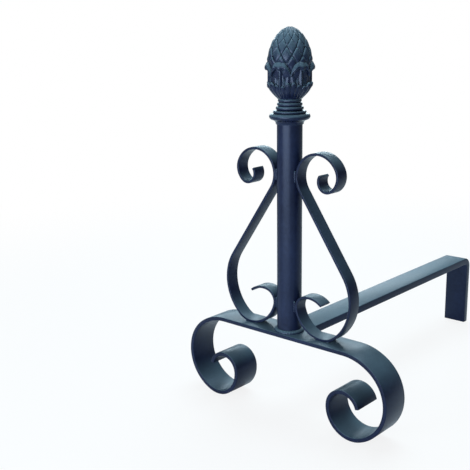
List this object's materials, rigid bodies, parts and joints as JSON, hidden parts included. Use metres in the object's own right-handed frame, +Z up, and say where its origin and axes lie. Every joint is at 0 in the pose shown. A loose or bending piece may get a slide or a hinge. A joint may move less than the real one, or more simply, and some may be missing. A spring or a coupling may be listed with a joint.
{
  "type": "andiron",
  "caption": "Black painted andiron with scrolled feet, a round post flanked by side scrolls, an artichoke finial on top and a log bar ending in a rear leg",
  "frame": {"origin": "On the floor, midway between the front and the back of the andiron's overall box and midway between its sides", "axes": "+X along the foot bar towards the right-hand foot, +Y back along the log bar from the post to the rear leg, +Z up"},
  "size_m": [0.305, 0.4788, 0.4715],
  "materials": {
    "black_paint": "satin black stove paint with a blue-slate sheen",
    "cast_paint": "satin black stove paint over a cast surface",
    "weld_paint": "satin black stove paint over a rough weld",
    "plain_steel": "plain steel, hidden inside"
  },
  "bodies": {
    "root": {"foot_bar": "black_paint", "log_bar": "black_paint", "post_tube": "black_paint", "post_plug": "plain_steel", "finial_stud": "plain_steel", "finial_collar": "cast_paint", "finial": "cast_paint", "left_side_scroll": "black_paint", "right_side_scroll": "black_paint", "post_foot_weld": "weld_paint", "upper_scroll_welds": "weld_paint", "lower_scroll_welds": "weld_paint", "scroll_seat_welds": "weld_paint", "log_bar_welds": "weld_paint"}
  },
  "joints": []
}
